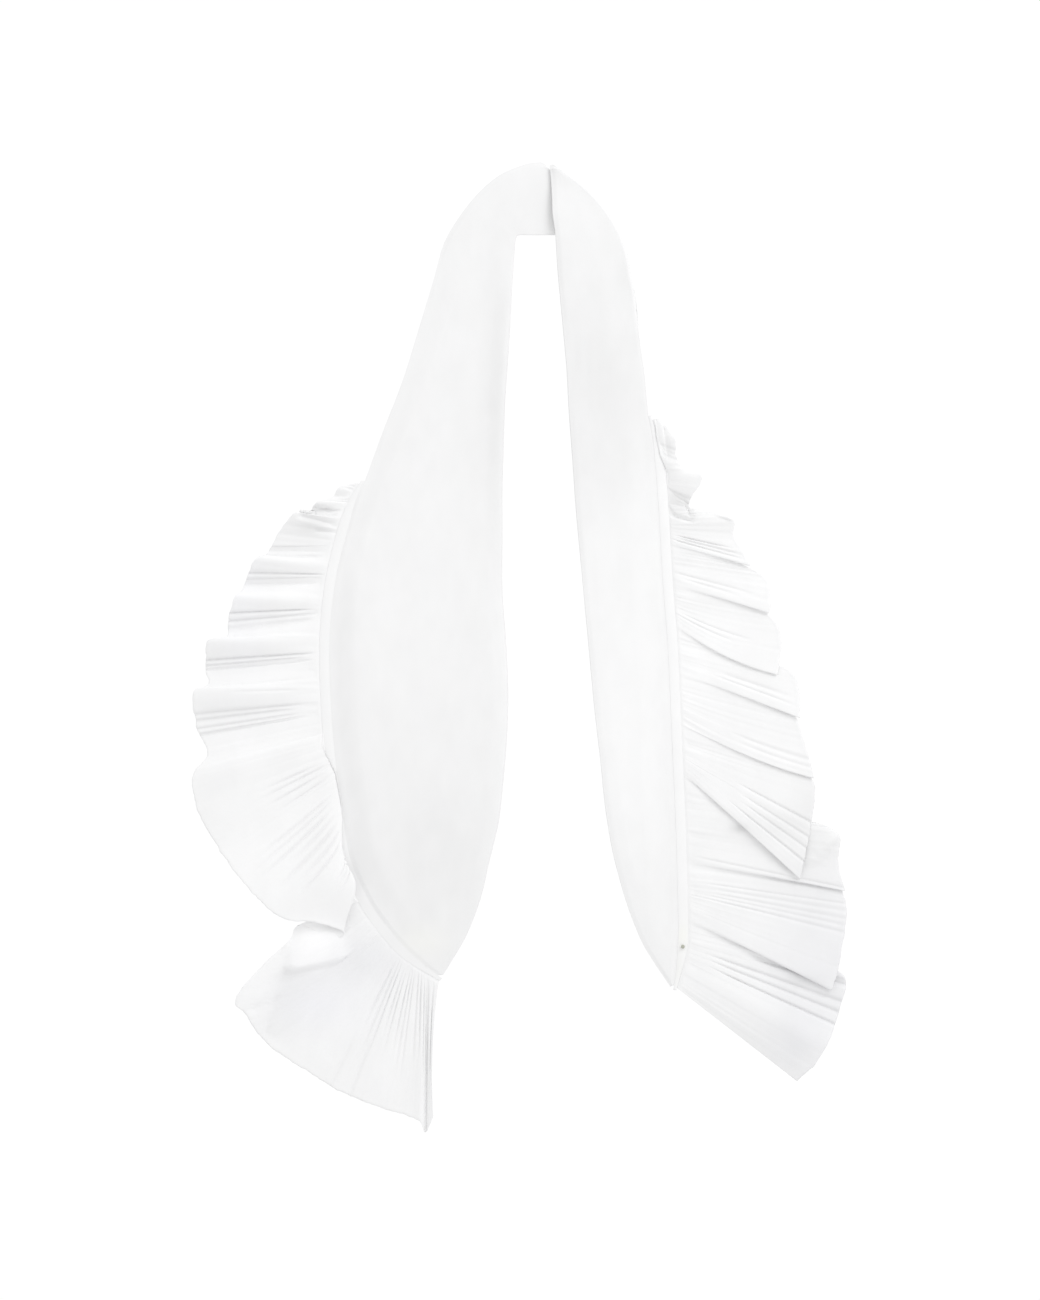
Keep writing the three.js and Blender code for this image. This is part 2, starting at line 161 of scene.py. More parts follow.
RIGHT_RUFFLE = [
    (4, 119, 197, 1, 0, 0), (16, 132, 181, 5, 0, 0), (29, 134, 166, 2.5, 0, 0), (42, 139, 155, 4, 0, 0),
    (54, 156, 147, 8, 0, 0), (64, 146, 127, 2.5, 0, 0), (77, 149, 120, 2, 0, 0),
    (90, 182, 112, 8, 0, 0), (98, 184, 95, 5.5, 0, 0), (109, 197, 72, 8, 0, 0), (115, 189, 73, 5, 0, 0),
    (128, 212, 58, 6, 0, 0), (143, 214, 31, 8.5, 0, 0), (151, 208, 35, 5.5, 0, 0),
    (163, 223, 14, 6.5, 3, 0), (178, 221, -22, 9, 6, 0), (186, 219, -14, 5.5, 3, 0),
    (201, 237, -26, 7, 0, 0), (219, 240, -59, 9, 0, 0), (228, 235, -52, 6, 0, 0),
    (243, 243, -77, 7, 2, 0), (261, 252, -111, 9, 5, 0), (270, 246, -103, 6, 3, 0),
    (286, 253, -127, 7.5, 0, 0), (305, 240, -197, 10.5, 0, 0), (314, 241, -163, 4, 0, 0),
    (329, 251, -150, 5, 0, 0), (343, 273, -160, 8, 0, 0), (362, 273, -184, 6.5, 0, 0),
    (381, 278, -207, 8, 0, 0), (391, 276, -206, 5, 0, 0), (408, 280, -232, 7, 0, 0),
    (430, 268, -292, 9.5, 0, 0), (440, 265, -275, 2.5, 0, 0), (450, 280, -285, 5, 0, 0),
    (462, 273, -314, 6, 0, 0), (473, 263, -340, 10, 0, 0), (486, 251, -359, 6, 0, 0),
    (494, 238, -372, 1, 0, 0),
]

# Pressed creases inside the folds: place in the ruffle's table, number, spread in mm at the hem,
# depth in mm, and the shares of the way from seam to hem where they start and end
LEFT_CREASES = [
    (0.8, 2, 5, 1.0, 0.0, 1.0), (2.6, 2, 5, 1.4, 0.0, 1.0), (4.2, 3, 9, 1.8, 0.1, 1.0),
    (6.9, 3, 9, 2.4, 0.05, 1.0), (9, 3, 9, 2.5, 0.05, 1.0), (12, 3, 13, 2.6, 0.06, 1.0),
    (15, 3, 9, 2.7, 0.06, 1.0), (18, 4, 19, 2.7, 0.14, 1.0), (16.6, 2, 10, 0.8, 0.1, 0.8),
    (21.6, 4, 34, 2.1, 0.06, 0.6), (23.2, 7, 54, 1.9, 0.1, 0.75), (25, 3, 12, 1.3, 0.0, 0.6),
    (35, 2, 14, 1.1, 0.55, 1.0), (36.4, 13, 100, 1.6, 0.0, 0.6), (39, 1, 0, 1.6, 0.0, 1.0),
]
RIGHT_CREASES = [
    (2, 3, 8, 1.2, 0.1, 1.0), (5.6, 3, 9, 1.2, 0.0, 1.0), (8.6, 3, 11, 1.8, 0.03, 0.9),
    (11.6, 2, 5, 1.2, 0.05, 0.7), (14.4, 2, 6, 1.1, 0.05, 0.6), (17.6, 2, 6, 1.0, 0.3, 0.9),
    (20.6, 2, 7, 1.0, 0.4, 1.0), (23.5, 4, 34, 1.5, 0.4, 1.0), (29.2, 2, 6, 1.2, 0.02, 1.0),
    (31, 5, 26, 0.9, 0.1, 1.0), (34.1, 2, 3, 2.4, 0.3, 1.0), (35, 3, 18, 2.4, 0.15, 1.0),
]
# Single pleats: first and last place in the ruffle's table, then in mm the start x and y, end x and y,
# width of the slope on the line's left side, and height of the ridge, below 0 for a pressed groove
LEFT_PLEATS = [
    (28.4, 31, -199, -274, -148, -264, 30, 4), (28.6, 31, -192, -238, -200, -270, 12, -1.5),
    (29, 34.5, -200, -274, -219, -338, 26, -3), (5, 6.6, -190, 113, -158, 105, 9, -3),
    (3.4, 5.4, -184, 121, -162, 117, 5, -2), (5.2, 6.6, -176, 100, -158, 99, 4, -1.6),
    (29.2, 34, -204, -280, -230, -312, 13, -1.5),
]
RIGHT_PLEATS = [
    (24.6, 28, 245, -191, 272, -159, 14, 2.5), (5, 9, 119, 128, 131, 113, 4, -2.4),
    (5, 9, 130, 113, 148, 108, 4, -2.4), (4.6, 8.5, 121, 136, 143, 125, 4, -1.6),
    (4.6, 8.5, 142, 125, 148, 109, 4, -1.6), (0, 4, 123, 192, 127, 162, 4, -1),
    (7, 9, 167, 115, 182, 110, 4, 1.6),
]
# Cloth that laps over the strip from the gathered side: distance along the seam in mm, width in mm, and
# whether the ruffle's edge climbs over the strip (1) or stays under it (0)
LEFT_COVER = [
    (222, 0, 0), (224, 0, 1), (256, 12, 1), (296, 9.5, 1), (330, 3, 1), (368, 0, 1), (370, 0, 0),
]
RIGHT_COVER = [(0, 0, 1), (9, 0.6, 1), (19, 3.4, 1), (34, 4.4, 1), (52, 0, 1), (62, 0, 0)]
# Soft spots of painted shade and painted light on the cloth, in fold shadows, hollows and the seam's
# ditch and on lit slopes,
# with a few plain tints: centre x, centre y, half width and half height in mm, then the tone, above 0
# where it is lighter, and the coolness, above 0 where it is bluer
LEFT_PANEL_SHADES = [
    (-20, 226, 12, 120, -5, 0), (-103, 41, 60, 170, 3, 0), (-69, -182, 45, 60, -3, 0),
    (-85, -252, 22, 14, 2, -1), (-145, -203, 8, 28, -7, 0),
]
RIGHT_PANEL_SHADES = [
    (69, 248, 32, 50, -5, 0), (84, 180, 34, 50, -4, 0), (86, -62, 50, 190, 6, 0),
    (54, 45, 14, 50, 3.5, 0),
]
LEFT_RUFFLE_SHADES = [
    (-133, -268, 38, 22, -7, 0.6), (-175, -305, 40, 25, -2.5, 1), (-224, -190, 40, 40, 5, 0),
    (-178, 105, 15, 8, -13, 0), (-240, 60, 18, 90, 0, 0.6), (-225, -288, 18, 22, 4, 0),
    (-176, -248, 20, 14, 6.5, 0), (-84, -350, 10, 50, -3, 0),
]
RIGHT_RUFFLE_SHADES = [
    (146, -28, 30, 75, 4, 0), (249, -174, 36, 45, -5, 0), (260, -268, 55, 70, -8, 0.6),
    (238, -336, 26, 28, -6, 0.6), (256, -130, 22, 22, -4, 0), (134, 126, 14, 9, -10, 0),
    (128, 158, 12, 14, -3, 0), (212, -152, 32, 14, -5, 0), (188, -155, 6, 4, -18, 0),
    (242, -285, 16, 6, -8, 0),
]
LEFT_STRIP_SHADES = [(-110, -260, 60, 50, -3, 0), (-145, -203, 8, 28, -7, 0)]
RIGHT_STRIP_SHADES = [(128, 0, 30, 200, 2, 0), (140, -247, 5, 9, 0, -1.6), (137, -276, 6, 14, -2, -0.6)]


class TieSizes(bpy.types.PropertyGroup):
    """Sizes of the cloth and its seams."""

    panel_ply: bpy.props.FloatProperty(
        name="Panel thickness", description="Two plies at the middle of a panel",
        default=1.5 * MM, unit="LENGTH")
    panel_edge: bpy.props.FloatProperty(
        name="Panel edge", description="Two plies pressed at the edge",
        default=0.8 * MM, unit="LENGTH")
    ruffle_ply: bpy.props.FloatProperty(
        name="Ruffle thickness", description="One gathered ply",
        default=0.6 * MM, unit="LENGTH")
    hem_ply: bpy.props.FloatProperty(
        name="Hem thickness", description="The ruffle's narrow rolled hem",
        default=0.85 * MM, unit="LENGTH")
    hem_width: bpy.props.FloatProperty(
        name="Hem width", description="Width of the ruffle's rolled hem",
        default=3.5 * MM, unit="LENGTH")
    gather_pitch: bpy.props.FloatProperty(
        name="Gather pitch", description="Distance between two gathers at the seam",
        default=3.6 * MM, unit="LENGTH")
    gather_depth: bpy.props.FloatProperty(
        name="Gather depth", description="Height of the gathers at the seam",
        default=0.6 * MM, unit="LENGTH")
    binding_width: bpy.props.FloatProperty(
        name="Strip width", description="Smooth strip between panel and gathers",
        default=8.4 * MM, unit="LENGTH")
    binding_tip: bpy.props.FloatProperty(
        name="Strip end width", description="Width of the strip at its two ends",
        default=3 * MM, unit="LENGTH")
    binding_height: bpy.props.FloatProperty(
        name="Strip height", description="How far the strip's middle stands up from the floor",
        default=1.4 * MM, unit="LENGTH")
    binding_edge: bpy.props.FloatProperty(
        name="Strip edge height", description="How far the strip's edges stand up from the floor",
        default=1 * MM, unit="LENGTH")
    binding_taper: bpy.props.FloatProperty(
        name="Strip taper", description="Length over which the strip reaches its width",
        default=45 * MM, unit="LENGTH")
    flat_from: bpy.props.FloatProperty(
        name="Flat from", description="Place on the wide end's seam where its strip turns flat",
        default=320 * MM, unit="LENGTH")
    fold_radius: bpy.props.FloatProperty(
        name="Fold radius", description="Soft roll where the narrow leg turns over",
        default=2.6 * MM, unit="LENGTH")
    fold_return: bpy.props.FloatProperty(
        name="Fold return", description="Cloth that runs back under the roll",
        default=4 * MM, unit="LENGTH")


class TieColours(bpy.types.PropertyGroup):
    """Colours of the cloth and the bead."""

    panel: bpy.props.FloatVectorProperty(
        name="Panel", description="Plain cotton of neck and panels", subtype="COLOR",
        size=4, min=0, max=1, default=(0.865, 0.865, 0.867, 1))
    ruffle: bpy.props.FloatVectorProperty(
        name="Ruffle", description="Gathered cotton of the ruffles", subtype="COLOR",
        size=4, min=0, max=1, default=(0.902, 0.902, 0.905, 1))
    binding: bpy.props.FloatVectorProperty(
        name="Strip", description="Smooth cotton strip on the seams", subtype="COLOR",
        size=4, min=0, max=1, default=(0.892, 0.892, 0.894, 1))
    stud: bpy.props.FloatVectorProperty(
        name="Bead", description="Small bead at the seam's end", subtype="COLOR",
        size=4, min=0, max=1, default=(0.5, 0.51, 0.43, 1))


def smooth(value, low, high):
    """Smooth step from 0 at low to 1 at high."""
    share = np.clip((value - low) / (high - low), 0, 1)
    return share * share * (3 - 2 * share)


def rows_at(table, places):
    """The table's columns at fractional row places, on smooth curves through its rows."""
    rows = np.array(table, float)
    last = len(rows) - 1
    first = np.clip(np.floor(places), 0, last - 1).astype(int)
    share = (places - first)[:, None]
    a, b, c, d = (rows[np.clip(first + step, 0, last)] for step in (-1, 0, 1, 2))
    square, cube = share**2, share**3
    return (
        (2 * cube - 3 * square + 1) * b + (cube - 2 * square + share) * (c - a) / 2
        + (3 * square - 2 * cube) * c + (cube - square) * (d - b) / 2
    )


class Seam:
    """A seam's centre line, the direction towards its panel, and the width of its strip."""

    def __init__(self, points, panel_side, sizes, flat_from):
        points = np.array(points, float) * MM
        ends = [2 * points[0] - points[1]], [2 * points[-1] - points[-2]]
        knots = np.concatenate([ends[0], points, ends[1]])
        steps = np.linspace(0, 1, CURVE_STEPS, endpoint=False)[:, None]
        line = []
        for p0, p1, p2, p3 in zip(knots, knots[1:], knots[2:], knots[3:]):
            t0, t1, t2 = (math.sqrt(np.linalg.norm(q - p)) for p, q in ((p0, p1), (p1, p2), (p2, p3)))
            start = ((p1 - p0) / t0 - (p2 - p0) / (t0 + t1) + (p2 - p1) / t1) * t1
            end = ((p2 - p1) / t1 - (p3 - p1) / (t1 + t2) + (p3 - p2) / t2) * t1
            line.append(
                p1 + start * steps + (3 * (p2 - p1) - 2 * start - end) * steps**2
                + (2 * (p1 - p2) + start + end) * steps**3
            )
        self.line = np.concatenate(line + [points[-1:]])
        self.run = np.concatenate([[0], np.cumsum(np.linalg.norm(np.diff(self.line, axis=0), axis=1))])
        self.length = self.run[-1]
        tangent = np.gradient(self.line, axis=0)
        self.tangent = tangent / np.linalg.norm(tangent, axis=1, keepdims=True)
        self.panel_side = panel_side
        self.sizes = sizes
        self.flat_from = flat_from

    def at(self, along):
        """Place, direction towards the panel and half width at distances along the seam."""
        place = np.stack([np.interp(along, self.run, self.line[:, k]) for k in (0, 1)], 1)
        tangent = np.stack([np.interp(along, self.run, self.tangent[:, k]) for k in (0, 1)], 1)
        inward = np.stack([-tangent[:, 1], tangent[:, 0]], 1) * self.panel_side
        reached = smooth(np.minimum(along, self.length - along), 0, self.sizes.binding_taper)
        narrow, wide = self.sizes.binding_tip, self.sizes.binding_width
        return place, inward, (narrow + (wide - narrow) * reached) / 2

    def panel_edge(self, along):
        """The panel's edge at distances along the seam, and how much of it the strip covers."""
        place, inward, half = self.at(along)
        narrow, wide = self.sizes.binding_tip, self.sizes.binding_width
        covered = PANEL_TUCK * smooth(half, 0.5 * narrow, 0.5 * wide)
        return place + inward * (half - covered)[:, None], covered


def noise_line(places, seed):
    """Smooth noise from -1 to 1 with one bump for each unit."""
    values = np.random.default_rng(seed).uniform(-1, 1, NOISE_LENGTH)
    first = np.floor(places).astype(int)
    share = places - first
    share = share * share * (3 - 2 * share)
    return values[first % NOISE_LENGTH] * (1 - share) + values[(first + 1) % NOISE_LENGTH] * share


def noise_field(x, y, seed):
    """Smooth noise from -1 to 1 over a plane, with one bump for each unit square."""
    values = np.random.default_rng(seed).uniform(-1, 1, (NOISE_WIDTH, NOISE_WIDTH))
    x0, y0 = np.floor(x).astype(int), np.floor(y).astype(int)
    fx, fy = x - x0, y - y0
    fx, fy = fx * fx * (3 - 2 * fx), fy * fy * (3 - 2 * fy)
    x0, y0, x1, y1 = (index % NOISE_WIDTH for index in (x0, y0, x0 + 1, y0 + 1))
    low = values[x0, y0] * (1 - fx) + values[x1, y0] * fx
    high = values[x0, y1] * (1 - fx) + values[x1, y1] * fx
    return low * (1 - fy) + high * fy


def grid_normals(grid):
    """Unit normals of a grid of points."""
    down, across = np.gradient(grid, axis=0), np.gradient(grid, axis=1)
    normal = np.cross(down, across)
    return normal / np.maximum(np.linalg.norm(normal, axis=2, keepdims=True), 1e-12)


def shades(grid, table, seed):
    """Tone and coolness of the cloth over a grid: painted shade and painted light from the table's
    spots, and a faint random unevenness everywhere.
    """
    x, y = grid[..., 0] / MM, grid[..., 1] / MM
    clouds = noise_field(x / 13 + 90, y / 19 + 90, seed)
    streaks = noise_field(x / 5 + 90, y / 11 + 90, seed + 1)
    tone = 0.9 * clouds + 0.7 * streaks
    cool = np.zeros(x.shape)
    # Each spot paints shade or light, or a tint, into the cloth's colour
    for centre_x, centre_y, half_width, half_height, lighter, cooler in table:
        near = np.exp(-(((x - centre_x) / half_width) ** 2) - ((y - centre_y) / half_height) ** 2)
        tone += lighter * near
        cool += cooler * near
    return tone, cool


def shell(name, over, under, spread, tone, cool):
    """A closed piece between two grids of points. spread is each point's place on the flat cloth."""
    rows, columns = over.shape[:2]
    count = rows * columns
    index = np.arange(count).reshape(rows, columns)
    top = np.stack([index[:-1, :-1], index[1:, :-1], index[1:, 1:], index[:-1, 1:]], 2).reshape(-1, 4)
    bottom = top[:, ::-1] + count
    rims = []
    for edge in (index[:, 0], index[-1, :], index[::-1, -1], index[0, ::-1]):
        rims.append(np.stack([edge[:-1], edge[:-1] + count, edge[1:] + count, edge[1:]], 1))
    faces = np.concatenate([top, bottom, *rims])
    if np.cross(over[1, 0] - over[0, 0], over[0, 1] - over[0, 0]) @ (over[0, 0] - under[0, 0]) < 0:
        faces = faces[:, ::-1]
    mesh = bpy.data.meshes.new(name)
    points = np.concatenate([over.reshape(-1, 3), under.reshape(-1, 3)])
    mesh.from_pydata(points.tolist(), [], faces.tolist())
    layer = mesh.uv_layers.new(name="cloth")
    flat = np.concatenate([spread.reshape(-1, 2)] * 2)
    layer.data.foreach_set("uv", flat[faces.reshape(-1)].astype(np.float32).reshape(-1))
    # The tone and coolness, painted shade and painted light included, go into a colour attribute
    base = 1 + TONE_STEP * tone.reshape(-1)
    blue = COOL_STEP * cool.reshape(-1)
    painted_shade_and_tone = np.stack([base * (1 - blue), base * (1 - blue), base * (1 + blue), np.ones(count)], 1)
    shade = mesh.attributes.new("painted_shade_and_tone", "FLOAT_COLOR", "POINT")
    shade.data.foreach_set("color", np.concatenate([painted_shade_and_tone] * 2).astype(np.float32).reshape(-1))
    rounded = np.ones(len(faces), bool)
    rounded[2 * len(top):] = False
    mesh.polygons.foreach_set("use_smooth", rounded)
    mesh.update()
    piece = bpy.data.objects.new(name, mesh)
    bpy.context.scene.collection.objects.link(piece)
    return piece


def spread_of(grid):
    """Each point's place on the flat cloth: distance along the last column, then across."""
    along = np.linalg.norm(np.diff(grid[:, -1], axis=0), axis=1)
    along = np.concatenate([[0], np.cumsum(along)])[:, None].repeat(grid.shape[1], 1)
    across = np.linalg.norm(np.diff(grid, axis=1), axis=2)
    across = np.concatenate([np.zeros((len(grid), 1)), np.cumsum(across, axis=1)], 1)
    return np.stack([along, across], 2)


def bowed(inner, outer, bow, share):
    """Points from inner to outer, shifted sideways by bow at the middle."""
    line = outer - inner
    side = line / np.maximum(np.linalg.norm(line, axis=1, keepdims=True), 1e-9)
    shift = np.stack([side[:, 1], -side[:, 0]], 1) * bow[:, None]
    arc = 4 * share * (1 - share)
    return inner[:, None] + line[:, None] * share[None, :, None] + shift[:, None] * arc[None, :, None]


def panel_sections(seam, lower, neck):
    """Rows from a panel's tip up through its neck: the inner edge, the outer edge, how much of that the
    strip covers, the crown, and the last columns of the neck's table."""
    extra = len(neck[0]) - 5
    edge = seam.panel_edge(np.array([row[0] for row in lower]) * MM)[0] / MM
    sections = [(row[1], row[2], *spot, row[3], *[0] * extra) for row, spot in zip(lower, edge)]
    sections += neck
    places = np.linspace(0, len(sections) - 1, (len(sections) - 1) * SECTION_STEPS + 1)
    rows = rows_at(sections, places)
    inner, outer = rows[:, 0:2] * MM, rows[:, 2:4] * MM
    on_seam = places <= len(lower) - 1
    along = rows_at(lower, places[on_seam])[:, 0] * MM
    covered = np.zeros(len(places))
    outer[on_seam], covered[on_seam] = seam.panel_edge(along)
    return inner, outer, covered, np.maximum(rows[:, 4], 0) * MM, rows[:, 5:]


def panel_relief(points):
    """Slow unevenness of a pressed cotton panel, in metres."""
    x, y = points[..., 0] / MM, points[..., 1] / MM
    wide = noise_field(x / 42 + 40, y / 80 + 40, 3) * 0.8
    folds = noise_field((x + 0.2 * y) / 17 + 80, y / 70 + 80, 5) * 0.25
    return (wide + folds) * MM


def puffed(grid, share, crown, sizes, width, covered):
    """The upper side of a double-ply panel whose lower side is the grid."""
    to_inner = share[None, :] * width[:, None]
    to_outer = (1 - share[None, :]) * width[:, None]
    rise = smooth(to_inner, *CROWN_INSIDE) * smooth(to_outer, *CROWN_OUTSIDE)
    full = np.minimum(smooth(to_inner, 0, 5 * MM), smooth(to_outer - covered[:, None], *PRESSED))
    ply = sizes.panel_edge + (sizes.panel_ply - sizes.panel_edge) * full
    over = grid.copy()
    over[..., 2] += ply + (crown[:, None] * CROWN_FULLNESS * rise + panel_relief(grid) * full)
    over[..., 2] = np.maximum(over[..., 2], grid[..., 2] + sizes.panel_edge * 0.8)
    return over


def make_left_panel(sizes, seam):
    """The leaf-shaped panel with its leg and neck arch. The leg's inner edge curls up a little."""
    inner, outer, covered, crown, own = panel_sections(seam, LEFT_PANEL, LEFT_NECK)
    # The columns lie closer together towards the seam
    share = 1 - (1 - np.linspace(0, 1, LEFT_COLUMNS)) ** 1.5
    flat = bowed(inner, outer, own[:, 0] * MM, share)
    grid = np.concatenate([flat, np.zeros(flat.shape[:2] + (1,))], 2)
    width = np.linalg.norm(outer - inner, axis=1)
    height = inner[:, 1:]
    curl = smooth(height, *CURL_STARTS) * (1 - smooth(height, *CURL_STOPS))
    curl = curl * (1 - smooth(share[None, :] * width[:, None], 0, CURL_WIDTH)) * 2.2 * MM
    grid[..., 2] += curl
    over = puffed(grid, share, crown, sizes, width, covered)
    # The panel's colour takes painted shade and painted light from its spots
    return shell("left_panel_cloth", over, grid, spread_of(grid), *shades(grid, LEFT_PANEL_SHADES, 51))


def make_right_panel(sizes, seam):
    """The narrow leg with the soft roll where it turns over the neck stretch."""
    inner, outer, covered, crown, own = panel_sections(seam, RIGHT_PANEL, RIGHT_NECK)
    rise, turn = own[:, 0] * MM, np.clip(own[:, 1], 0, 1)
    line = outer - inner
    width = np.linalg.norm(line, axis=1)
    side = line / width[:, None]
    radius = np.minimum(sizes.fold_radius, width * 0.3)
    angle = np.pi * turn
    top = radius * (1 - np.cos(angle))

    # The flat part reaches to where the roll starts
    flat_end = width - radius
    share = np.linspace(0, 1, RIGHT_COLUMNS)
    grid = np.zeros((len(inner), len(share), 3))
    grid[..., :2] = inner[:, None] + side[:, None] * (flat_end[:, None] * share)[..., None]
    grid[..., 2] = top[:, None] + rise[:, None] * (1 - share[None, :]) ** 2
    puff = puffed(grid, share, crown, sizes, flat_end, covered - radius)

    # The roll goes on from there, and the cloth runs back under it
    quarter = np.maximum(np.sin(np.minimum(angle, np.pi / 2)), 0.01)
    around = np.linspace(0, 1, ROLL_COLUMNS)[1:]
    turned = angle[:, None] * around[None, :]
    reach = np.where(angle[:, None] > 0.01, np.sin(turned) / quarter[:, None], around[None, :])
    roll = np.zeros((len(inner), len(around), 3))
    out = flat_end[:, None] + radius[:, None] * reach
    roll[..., :2] = inner[:, None] + side[:, None] * out[..., None]
    rolled = smooth(turn, 0, 0.5)[:, None]
    pressed = smooth(radius[:, None] * (1 - reach) - covered[:, None], *PRESSED)
    full = rolled + pressed * (1 - rolled)
    roll_ply = sizes.panel_edge + (sizes.panel_ply - sizes.panel_edge) * full
    roll[..., 2] = top[:, None] + roll_ply / 2 - radius[:, None] * (1 - np.cos(turned))
    back = sizes.fold_return * turn * radius / sizes.fold_radius
    end = roll[:, -1:].copy()
    end[..., :2] += side[:, None] * (back * np.cos(angle))[:, None, None]
    end_ply = np.full((len(inner), 1), sizes.panel_edge)

    # Both are one sheet, and its thickness lies half above and half below its middle
    middle = np.concatenate([(grid + puff) / 2, roll, end], 1)
    ply = np.concatenate([puff[..., 2] - grid[..., 2], roll_ply, end_ply], 1)
    eased = slice(RIGHT_COLUMNS - EASED_COLUMNS, RIGHT_COLUMNS)
    ease = np.linspace(0, 1, EASED_COLUMNS)[None, :] ** 2
    ply[:, eased] = ply[:, eased] * (1 - ease) + roll_ply[:, :1] * ease
    middle[:, eased, 2] = middle[:, eased, 2] * (1 - ease) + roll[:, :1, 2] * ease
    normal = grid_normals(middle)
    up = np.where(normal[:, :1, 2:] < 0, -1, 1)
    over = middle + normal * up * ply[..., None] / 2
    under = middle - normal * up * ply[..., None] / 2
    over[..., 2] = np.maximum(over[..., 2], 0.05 * MM)
    under[..., 2] = np.maximum(under[..., 2], 0)
    # The leg's colour takes painted shade near the neck fold from its spots
    tones = shades(middle, RIGHT_PANEL_SHADES, 53)
    return shell("right_panel_cloth", over, under, spread_of(middle), *tones)


def crease_depth(creases, places, share, hem_run, seed):
    """Depth of the pressed creases over a ruffle's grid, in metres. No two creases are quite alike."""
    depth = np.zeros((len(places), len(share)))
    chance = np.random.default_rng(seed)
    for place, number, spread, deep, low, high in creases:
        middle = np.interp(place, places, hem_run)
        pitch = spread * MM / max(number - 1, 1)
        for line in range(number):
            offset = pitch * (line - (number - 1) / 2 + chance.uniform(-0.22, 0.22))
            width = chance.uniform(1.4, 2.4) * MM
            profile = np.exp(-(((hem_run - middle - offset) / width) ** 2))
            begin = low + chance.uniform(-0.02, 0.08)
            ends = smooth(share, begin - 0.02, begin + 0.16)
            if high < 1:
                finish = high + chance.uniform(-0.12, 0.12)
                ends = ends * (1 - smooth(share, finish - 0.2, finish + 0.1))
            depth += chance.uniform(0.6, 1) * deep * MM * profile[:, None] * ends[None, :]
    return depth


def ruffle_places(table, creases):
    """Row places spread evenly over the hem, and more densely at the pressed creases."""
    places = np.linspace(0, len(table) - 1, PLACE_STEPS)
    hem = rows_at(table, places)[:, 1:3]
    pace = np.linalg.norm(np.gradient(hem, axis=0), axis=1) + 0.02
    run = np.concatenate([[0], np.cumsum((pace[1:] + pace[:-1]) / 2)])
    dense = np.ones(len(places))
    for place, number, spread, *_ in creases:
        centre = np.interp(place, places, run)
        dense += 1.6 * np.exp(-(((run - centre) / (spread / 2 + 4)) ** 4))
    weight = pace * dense
    total = np.concatenate([[0], np.cumsum((weight[1:] + weight[:-1]) / 2)])
    return np.interp(np.linspace(0, total[-1], RUFFLE_ROWS), total, places)


def pleat_height(pleats, grid, places):
    """Height of the single pleats over a ruffle's grid, in metres."""
    height = np.zeros(grid.shape[:2])
    for first, last, ax, ay, bx, by, reach, lift in pleats:
        start, end = np.array([ax, ay]) * MM, np.array([bx, by]) * MM
        length = np.linalg.norm(end - start)
        line = (end - start) / length
        offset = grid[..., :2] - start
        run = (offset @ line) / length
        beside = line[0] * offset[..., 1] - line[1] * offset[..., 0]
        slope = np.clip(1 - beside / (reach * MM), 0, 1) * (beside > 0)
        back = np.clip(0.35 * reach, 1.4, 7) * MM
        drop = (1 - smooth(-beside, 0, back)) * (beside <= 0)
        ends = smooth(run, -0.08, 0.12) * (1 - smooth(run, 0.88, 1.08))
        rows = smooth(places, first - 0.4, first) * (1 - smooth(places, last, last + 0.4))
        height += lift * MM * (slope + drop) * ends * rows[:, None]
    return height


